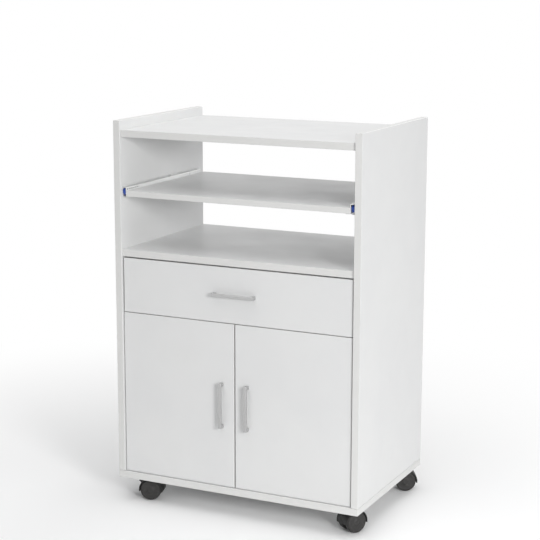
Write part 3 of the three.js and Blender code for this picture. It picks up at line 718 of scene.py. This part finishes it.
def make_runners(prefix):
    """The runners of the pull-out shelf or of the drawer, left and right."""
    cabinet_low, cabinet_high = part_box(f"{prefix}_cabinet_rail_left")
    carrier_low, carrier_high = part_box(f"{prefix}_carrier_rail_left")
    rail_y0, rail_y1, move_y0, move_y1 = cabinet_low.y, cabinet_high.y, carrier_low.y, carrier_high.y
    base = carrier_low.z + SHEET  # the underside of the carried board or box
    foot, ledge = base - SHEET, base - SHEET / 2
    cap = cabinet_high.z - SHEET / 2
    flange = carrier_high.z - SHEET / 2
    web = INNER - SHEET / 2
    move_web = CARRIED + SHEET / 2
    screws_y = [rail_y0 + d * MM for d in CABINET_SCREWS]
    row_y = [move_y0 + d * MM for d in CARRIER_ROW]
    row_z = flange - 4 * MM
    for name, side in SIDES.items():
        cabinet = f"{prefix}_cabinet_rail_{name}"
        carrier = f"{prefix}_carrier_rail_{name}"
        front = JOINTS[f"{prefix}_roller_front_{name}"]["pos_m"]
        rear = JOINTS[f"{prefix}_roller_rear_{name}"]["pos_m"]

        corners = [(INNER - 10 * MM, foot), (web, foot), (web, cap), (INNER - 8 * MM, cap)]
        slots = [(web, y + 22 * MM, base + SCREW_LIFT, 2.2 * MM, 6 * MM) for y in screws_y]
        slots += [(web, y - 14 * MM, base + SCREW_LIFT, 1.6 * MM, 0) for y in screws_y]
        rail(f"{cabinet}_pressed", cabinet, corners, side, rail_y0, rail_y1, slots)

        corners = [
            (CARRIED + SHEET - 11.2 * MM, ledge),
            (move_web, ledge),
            (move_web, flange),
            (INNER - SHEET - 1.4 * MM, flange),
        ]
        slots = [(move_web, y, row_z, 1.6 * MM, 1.6 * MM) for y in row_y]
        slots += [(move_web, move_y0 + d * MM, base + 8 * MM, 2.1 * MM, 4 * MM) for d in CARRIER_SLOTS]
        rail(f"{carrier}_pressed", carrier, corners, side, move_y0, move_y1, slots)

        fixings = Build()
        for y in screws_y:
            point = (side * (INNER - SHEET), y, base + SCREW_LIFT)
            fixings.screw(point, (-side, 0, 0), 3.3 * MM, 1.3 * MM)
        axle(fixings, front, -side)
        fixings.piece(f"{cabinet}_fixings", [ZINC, PAINTED_RECESS_SHADE], body_of(cabinet), smooth=35)

        fixings = Build()
        for d in CARRIER_SCREWS:
            point = (side * (CARRIED - 4 * MM), move_y0 + d * MM, foot)
            fixings.screw(point, (0, 0, -1), 3.1 * MM, 1.1 * MM)
        # Painted shade: a dark strip behind the row of slots, standing for the dark inside the closed
        # channel
        shade_strip_x = sorted((side * (CARRIED + SHEET), side * (CARRIED + SHEET + 0.6 * MM)))
        shade_strip_low = (shade_strip_x[0], row_y[0] - 4 * MM, row_z - 2.4 * MM)
        shade_strip_high = (shade_strip_x[1], row_y[-1] + 4 * MM, row_z + 2.4 * MM)
        fixings.box(shade_strip_low, shade_strip_high, PAINTED_SHADE, 0.2 * MM)
        axle(fixings, rear, side)
        fixings.piece(f"{carrier}_fixings", [ZINC, PAINTED_RECESS_SHADE], body_of(carrier), smooth=35)

        for end, at, direction in (("front", front, -side), ("rear", rear, side)):
            make_roller(f"{prefix}_{end}_roller_{name}", at, direction)


ROLLER_HALF = 3.75 * MM  # half a roller's width


def axle(build, at, direction):
    """A rivet that holds a roller: direction runs from the rail's wall to the rivet's head."""
    place = axis_frame(at, (direction, 0, 0))
    head = ROLLER_HALF + 0.15 * MM
    profile = [
        (0, -ROLLER_HALF - 2 * MM),
        (3.2 * MM, -ROLLER_HALF - 2 * MM),
        (3.2 * MM, -ROLLER_HALF - 0.4 * MM),
        (1.98 * MM, -ROLLER_HALF - 0.4 * MM),
        (1.98 * MM, head),
        (3.3 * MM, head),
        (3.3 * MM, head + 0.35 * MM),
        (2.4 * MM, head + 0.75 * MM),
        (0, head + 0.85 * MM),
    ]
    build.lathe(profile, place, 24)


def make_roller(node, at, direction):
    place = axis_frame(at, (direction, 0, 0))
    low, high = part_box(node)
    half, radius = ROLLER_HALF, (high.z - low.z) / 2
    profile = [
        (2.15 * MM, -half),
        (radius - 1.4 * MM, -half),
        (radius - 0.8 * MM, -half + 0.15 * MM),
        (radius - 0.25 * MM, -half + 0.6 * MM),
        (radius, -half + 1.3 * MM),
        (radius, half - 1.3 * MM),
        (radius - 0.25 * MM, half - 0.6 * MM),
        (radius - 0.8 * MM, half - 0.15 * MM),
        (radius - 1.4 * MM, half),
        (radius - 1.8 * MM, half),
        (radius - 2.0 * MM, half - 0.5 * MM),
        (4.3 * MM, half - 0.5 * MM),
        (4.1 * MM, half),
        (2.15 * MM, half),
        (2.15 * MM, -half),
    ]
    build = Build()
    build.lathe(profile, place, 48)
    build.piece(f"{node}_moulded", [ROLLER_NYLON], body_of(node), [node], smooth=35)


# ---------------------------------------------------------------- handles and their screws

GRIP = 9.5 * MM  # room for the fingers, between the bar and the board
POST = 8 * MM
HANDLE_CORNER = 1.1 * MM
HANDLE_HOLE = 48 * MM  # a handle's screws, from its middle


def make_handle(node, along, material):
    """A slim bar on two posts, drawn in the plane of its length and its projection."""
    low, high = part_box(node)
    middle = (low + high) / 2
    half = (high[along] - low[along]) / 2
    out = high.y - low.y
    corner = HANDLE_CORNER
    outline = [(-half, 0)]
    outline += turned((corner - half, out - corner), 180, -90, corner, 6)
    outline += turned((half - corner, out - corner), 90, -90, corner, 6)
    outline += [(half, 0), (half - POST, 0)]
    outline += turned((half - POST - corner, GRIP - corner), 0, 90, corner, 5)
    outline += turned((corner + POST - half, GRIP - corner), 90, 90, corner, 5)
    outline += [(POST - half, 0)]
    width = (high.x - low.x) if along == 2 else (high.z - low.z)
    lengthwise = Vector((0, 0, 1)) if along == 2 else Vector((1, 0, 0))
    outward = Vector((0, -1, 0))
    thick = lengthwise.cross(outward)
    base = Vector((middle.x, high.y, middle.z)) - thick * width / 2
    place = Matrix.Translation(base) @ Matrix((lengthwise, outward, thick)).transposed().to_4x4()
    build = Build()
    build.prism(outline, width, place, bevel=1.4 * MM, segments=4, angle=50)
    build.piece(f"{node}_bar", [material], body_of(node), [node], smooth=32)


def handle_screws(node, body, points):
    """The screws that hold a handle from the rear of its board."""
    screws = Build()
    for point in points:
        screws.screw(point, (0, 1, 0), 4.2 * MM, 2.2 * MM)
    screws.piece(f"{node}_screws", [ZINC, PAINTED_RECESS_SHADE], body, smooth=35)


def make_handles():
    make_handle("drawer_handle", 0, HANDLE_LEVEL)
    low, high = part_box("drawer_handle")
    z = (low.z + high.z) / 2
    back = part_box("drawer_front")[1].y
    handle_screws("drawer_handle", "drawer", [(-HANDLE_HOLE, back, z), (HANDLE_HOLE, back, z)])
    for name in SIDES:
        node = f"door_handle_{name}"
        make_handle(node, 2, HANDLE_UPRIGHT)
        low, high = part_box(node)
        x, z = (low.x + high.x) / 2, (low.z + high.z) / 2
        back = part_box(f"door_{name}")[1].y
        handle_screws(node, f"{name}_door", [(x, back, z - HANDLE_HOLE), (x, back, z + HANDLE_HOLE)])


# ---------------------------------------------------------------- concealed hinges

CUP_X = 259 * MM  # the middle of a cup, from the middle of the cart


def make_hinges():
    for name, side in SIDES.items():
        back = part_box(f"door_{name}")[1].y
        for level in ("lower", "upper"):
            make_hinge_cup(f"hinge_cup_{name}_{level}", side, back)
            make_hinge_arm(f"hinge_arm_{name}_{level}", side)


def make_hinge_cup(node, side, back):
    """The cup in a door, its wings with their screws, and the link. back is the door's rear face."""
    low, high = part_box(node)
    z = (low.z + high.z) / 2
    x = side * CUP_X
    place = axis_frame((x, back, z), (0, 1, 0), (1, 0, 0))
    cup = Build()
    outside = [(0, -11.5), (15.5, -11.5), (17.1, -10), (17.1, 0), (19.3, 0), (19.3, 0.7), (18.8, 1.2)]
    inside = [(16.4, 1.2), (15.9, 0.7), (15.7, -9), (14.2, -10.2), (0, -10.2)]
    cup.lathe(in_mm(outside + inside), place, 48)
    for end in (-1, 1):
        wing = rounded_rectangle(7 * MM, 6.5 * MM, 4 * MM)
        shift = Matrix.Translation((0, end * 19.5 * MM, 0))
        cup.prism(wing, 1.15 * MM, place @ shift, bevel=0.3 * MM)
        cup.screw(place @ Vector((0, end * 21 * MM, 1.15 * MM)), (0, 1, 0), 3.4 * MM, 1.3 * MM)
    # The link from the cup to the arm's tip, and a narrower rib that stands out of it
    tip = high.y
    for width, lift in ((10, 0.0), (6.4, 0.9)):
        half = width * MM / 2
        link = [
            (x, back - 8 * MM),
            (x, back + 1.4 * MM),
            (side * 266 * MM, tip),
            (side * 271 * MM, tip),
            (x + side * 5 * MM, back - 1.2 * MM),
            (x + side * 5 * MM, back - 8 * MM),
        ]
        link = [(px + side * lift * MM, py) for px, py in link]
        cup.prism(link, 2 * half, Matrix.Translation((0, 0, z - half)), bevel=0.5 * MM)
    pin = axis_frame((side * (CUP_X + 3 * MM), back - 3.4 * MM, z - 9 * MM), (0, 0, 1))
    cup.lathe(in_mm([(0, 0), (1.6, 0), (1.6, 18), (0, 18)]), pin, 18)
    cup.piece(f"{node}_pressed", [NICKEL, PAINTED_RECESS_SHADE], body_of(node), [node], smooth=35)


def make_hinge_arm(node, side):
    """The cranked arm, the plate that it is screwed to, and the rivet in its tip."""
    low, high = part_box(node)
    z = (low.z + high.z) / 2
    tip, rear = low.y, high.y
    wall = INNER - 2.5 * MM
    near = INNER - 13.5 * MM
    reach = INNER - 18 * MM
    shape = [
        (wall, tip + 13 * MM),
        (wall, rear - 1.5 * MM),
        (wall - 1.5 * MM, rear),
        (near + 2 * MM, rear),
        (near, rear - 3 * MM),
        (near, tip + 14 * MM),
        (reach, tip + 6 * MM),
        (reach, tip + 1 * MM),
        (reach + 1 * MM, tip),
        (reach + 8.5 * MM, tip),
    ]
    half = 7.5 * MM
    arm = Build()
    outline = [(side * x, y) for x, y in shape]
    arm.prism(outline, 2 * half, Matrix.Translation((0, 0, z - half)), bevel=0.8 * MM, segments=3)
    plate_y = tip + 35 * MM
    plate_thick = 2.4 * MM
    place = axis_frame((side * INNER, plate_y, z), (-side, 0, 0), (0, 1, 0))
    arm.prism(rounded_rectangle(13 * MM, 25 * MM, 4 * MM), plate_thick, place, bevel=0.5 * MM)
    for end in (-1, 1):
        point = (side * (INNER - plate_thick), plate_y, z + end * 17 * MM)
        arm.screw(point, (-side, 0, 0), 3.8 * MM, 1.6 * MM)
    for y in (tip + 24 * MM, tip + 45 * MM):
        arm.screw((side * near, y, z), (-side, 0, 0), 3.6 * MM, 1.2 * MM)
    rivet = axis_frame((side * (reach + 4 * MM), tip + 4 * MM, z - 8.1 * MM), (0, 0, 1))
    arm.lathe(in_mm([(0, 0), (1.9, 0), (1.9, 16.2), (0, 16.2)]), rivet, 18)
    arm.piece(f"{node}_pressed", [NICKEL, PAINTED_RECESS_SHADE], body_of(node), [node], smooth=35)


# ---------------------------------------------------------------- shelf pins, cam locks and screws

# Distances from the middle of the cart
PINS_Y = (-115.5 * MM, 126.5 * MM)
LOCKS_X, LOCKS_Y = 250 * MM, (-150 * MM, 160 * MM)
SCREWS_X, SCREWS_Y = 292 * MM, (-110 * MM, 7 * MM, 122 * MM)

# Half sections, in millimetres
PIN_STEM = [(0, 0), (2.5, 0), (2.5, 8.9)]
PIN_COLLAR = [(3.4, 9.05), (3.4, 10.0)]
PIN_TIP = [(2.5, 10.2), (2.5, 16.4), (2.1, 17), (0, 17)]
CAM_LOCK = [(0, -0.5), (7.4, -0.5), (7.4, 0.12), (6.9, 0.3), (5.6, 0.3), (5.4, 0.1), (0, 0.1)]


def make_shelf_pins():
    pins = Build()
    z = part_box("cupboard_shelf")[0].z - 2.5 * MM
    for side in SIDES.values():
        for y in PINS_Y:
            place = axis_frame((side * (INNER + 9 * MM), y, z), (-side, 0, 0))
            pins.lathe(in_mm(PIN_STEM + PIN_COLLAR + PIN_TIP), place, 24)
    pins.piece("shelf_pins", [NICKEL], "carcass", smooth=35)


def make_cam_locks():
    locks = Build()
    for node in ("top_panel", "fixed_shelf"):
        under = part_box(node)[0].z
        for side in SIDES.values():
            for y in LOCKS_Y:
                place = axis_frame((side * LOCKS_X, y, under), (0, 0, -1))
                locks.lathe(in_mm(CAM_LOCK), place, 32)
                # A dark cross of painted shade stands for the recess in the cam
                locks.cross(3 * MM, 0.7 * MM, 0.2 * MM, place, PAINTED_SHADE)
    locks.piece("cam_locks", [ZINC, PAINTED_RECESS_SHADE], "carcass", smooth=35)


def make_screws():
    """The screws under the bottom panel, and those in the sides of the drawer box."""
    screws = Build()
    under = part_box("bottom_panel")[0].z
    for side in SIDES.values():
        for y in SCREWS_Y:
            screws.screw((side * SCREWS_X, y, under), (0, 0, -1), 4.4 * MM, 0.7 * MM)
    screws.piece("carcass_screws", [ZINC, PAINTED_RECESS_SHADE], "carcass", smooth=35)

    screws = Build()
    low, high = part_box("drawer_back")
    for side in SIDES.values():
        for z in (low.z + 18 * MM, high.z - 18 * MM):
            screws.screw((side * CARRIED, (low.y + high.y) / 2, z), (side, 0, 0), 3.6 * MM, 0.7 * MM)
    screws.piece("drawer_box_screws", [ZINC, PAINTED_RECESS_SHADE], "drawer", smooth=35)


# ---------------------------------------------------------------- casters

PLATE_THICK = 2.5 * MM
PLATE_HALF = 21 * MM  # half the side of the mounting plate
PLATE_HOLE = 14.5 * MM  # its screws, from the swivel axis along both sides
HOOD_DROP = 8  # degrees that the hood reaches below the axle at each end
TREAD_FROM = 23.4  # a wheel's faces whose middle is beyond this radius, in millimetres, are tread
TREAD = 1  # the tread's place among a wheel's materials


def caster_place(corner):
    """The caster's own frame: origin on the floor under the swivel axis, X towards the axle."""
    swivel = Vector(JOINTS[f"caster_{corner}"]["pos_m"])
    wheel = Vector(JOINTS[f"wheel_{corner}_outer"]["pos_m"])
    trail = Vector((wheel.x - swivel.x, wheel.y - swivel.y, 0))
    place = axis_frame((swivel.x, swivel.y, 0), (0, 0, 1), trail)
    return place, trail.length, wheel.z


def make_caster(corner):
    place, trail, axle_z = caster_place(corner)
    plate_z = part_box(f"caster_plate_{corner}")[1].z - PLATE_THICK
    turn = place @ Matrix.Translation((trail, 0, axle_z)) @ Matrix.Rotation(math.pi / 2, 4, "X")
    make_caster_plate(corner, plate_z)
    make_caster_hood(corner, place, turn, (plate_z - 0.3 * MM) / MM)
    make_wheel(f"caster_wheel_{corner}_outer", turn)
    make_wheel(f"caster_wheel_{corner}_inner", turn @ Matrix.Rotation(math.pi, 4, "X"))


def make_caster_plate(corner, plate_z):
    """The mounting plate with its screws, and the pintle below it."""
    node = f"caster_plate_{corner}"
    swivel = Vector(JOINTS[f"caster_{corner}"]["pos_m"])
    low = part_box(node)[0].z
    plate = Build()
    flat = Matrix.Translation((swivel.x, swivel.y, plate_z))
    outline = rounded_rectangle(PLATE_HALF, PLATE_HALF, 5 * MM, 8)
    plate.prism(outline, PLATE_THICK - 0.05 * MM, flat, bevel=0.5 * MM)
    pintle = Matrix.Translation((swivel.x, swivel.y, low))
    top = plate_z - low + MM
    plate.lathe([(0, 0), (2.6 * MM, 0), (3.45 * MM, 0.9 * MM), (3.45 * MM, top), (0, top)], pintle, 24)
    for x in (-PLATE_HOLE, PLATE_HOLE):
        for y in (-PLATE_HOLE, PLATE_HOLE):
            plate.screw((swivel.x + x, swivel.y + y, plate_z), (0, 0, -1), 3.7 * MM, 1.5 * MM)
    plate.piece(f"{node}_pressed", [ZINC, PAINTED_RECESS_SHADE], body_of(node), [node], smooth=35)


def make_caster_hood(corner, place, turn, top):
    """The hood over both wheels: profiles in millimetres, about the axle or up the swivel axis to top."""
    node = f"caster_hood_{corner}"
    drop = math.radians(HOOD_DROP)
    half, inner, outer, rim = 20.7, 25.3, 27.7, 1.1
    arch = [(inner, -half), (outer - rim, -half), (outer - 0.35, -half + 0.35), (outer, -half + rim)]
    arch += [(outer, -3.2), (outer + 0.55, -2.4), (outer + 0.55, 2.4), (outer, 3.2)]
    arch += [(outer, half - rim), (outer - 0.35, half - 0.35), (outer - rim, half), (inner, half)]
    arch += [(inner, -half)]
    web = [(0, -6.5), (26, -6.5), (26, 6.5), (0, 6.5)]
    boss = [(0, -6.6), (5.6, -6.6), (6.5, -5.9), (6.5, 5.9), (5.6, 6.6), (0, 6.6)]
    pin = [(0, -16.2), (2.4, -16.2), (2.95, -15.6), (2.95, 15.6), (2.4, 16.2), (0, 16.2)]
    column = [(3.8, 36.5), (9.0, 36.5), (9.0, 44.0), (8.9, top - 0.7), (8.3, top), (3.8, top), (3.8, 36.5)]
    fillet = [(9.0, 41.0), (12.5, 41.0), (10.6, 42.4), (9.5, 44.2), (9.0, 46.5), (9.0, 41.0)]
    hood = Build()
    for profile in (arch, web):
        hood.lathe(in_mm(profile), turn, 72, -drop, math.pi + 2 * drop)
    hood.lathe(in_mm(boss), turn, 40)
    hood.lathe(in_mm(pin), turn, 32)
    for profile in (column, fillet):
        hood.lathe(in_mm(profile), place, 48)
    hood.piece(f"{node}_moulded", [HOOD_NYLON], body_of(node), [node], smooth=32)


def make_wheel(node, face):
    """A wheel with a dished outer disc: face is the axle's frame, with Z out of the disc."""
    near, far, tread = 7.2, 20.7, 24.0
    bore = [(0, far - 3.7), (3.2, far - 3.7), (3.2, near)]
    body = [(20.5, near), (22.2, near + 0.35), (TREAD_FROM, near + 1.2), (tread, near + 2.6)]
    rolling = [(tread + 0.06, (near + far) / 2), (tread, far - 2.6)]
    shoulder = [(23.5, far - 1.3), (22.6, far - 0.4), (21.4, far), (19.2, far), (18.8, far - 0.5)]
    dish = [(18.0, far - 0.7), (9.5, far - 0.9), (8.2, far - 0.6)]
    hub = [(7.6, far - 0.1), (6.8, far + 0.1), (5.2, far + 0.1), (4.7, far - 0.3), (0, far - 0.35)]
    wheel = Build()
    wheel.lathe(in_mm(bore + body + rolling + shoulder + dish + hub), face, 72)
    for poly in wheel.bm.faces:
        local = face.inverted() @ poly.calc_center_median()
        if (local.x**2 + local.y**2) ** 0.5 > TREAD_FROM * MM:
            poly.material_index = TREAD
    materials = [WHEEL_NYLON, TREAD_NYLON]
    wheel.piece(f"{node}_moulded", materials, body_of(node), [node], smooth=28)


# ---------------------------------------------------------------- studio

FLOOR_DROP = 0.2 * MM  # keeps the floor clear of the wheels
LIGHTS_AIM = (0, 0, 0.45)


def make_floor():
    build = bmesh.new()
    bmesh.ops.create_circle(build, cap_ends=True, segments=96, radius=FLOOR_RADIUS)
    mesh = bpy.data.meshes.new("floor")
    build.to_mesh(mesh)
    build.free()
    mesh.materials.append(make_floor_paper())
    floor = bpy.data.objects.new("floor", mesh)
    floor.location.z = -FLOOR_DROP
    bpy.context.scene.collection.objects.link(floor)


def area_light(name, at, size, energy):
    data = bpy.data.lights.new(name, "AREA")
    data.shape = "DISK"
    data.size = size
    data.energy = energy
    light = bpy.data.objects.new(name, data)
    light.location = at
    light.rotation_mode = "QUATERNION"
    light.rotation_quaternion = (Vector(LIGHTS_AIM) - Vector(at)).to_track_quat("-Z", "Y")
    bpy.context.scene.collection.objects.link(light)


def make_studio():
    scene = bpy.context.scene
    scene.view_settings.view_transform = "Standard"
    world = bpy.data.worlds.new("studio")
    scene.world = world
    world.use_nodes = True
    tree = world.node_tree
    tree.nodes.clear()
    lit = tree.nodes.new("ShaderNodeBackground")
    lit.inputs["Color"].default_value = (0.99, 0.995, 1.0, 1)
    lit.inputs["Strength"].default_value = 0.35
    seen = tree.nodes.new("ShaderNodeBackground")
    seen.inputs["Color"].default_value = (1, 1, 1, 1)
    mix = tree.nodes.new("ShaderNodeMixShader")
    out = tree.nodes.new("ShaderNodeOutputWorld")
    tree.links.new(background_rays(tree), mix.inputs["Fac"])
    tree.links.new(lit.outputs["Background"], mix.inputs[1])
    tree.links.new(seen.outputs["Background"], mix.inputs[2])
    tree.links.new(mix.outputs["Shader"], out.inputs["Surface"])
    area_light("key", (2.83, -2.37, 1.37), 1.1, 80)
    area_light("overhead", (0, -0.9, 4.3), 4.5, 87)
    area_light("rim", (0.6, 3.4, 2.2), 2.0, 40)


make_camera()
make_boards()
make_runners("shelf")
make_runners("drawer")
make_handles()
make_hinges()
make_shelf_pins()
make_cam_locks()
make_screws()
for corner in CORNERS:
    make_caster(corner)
make_floor()
make_studio()
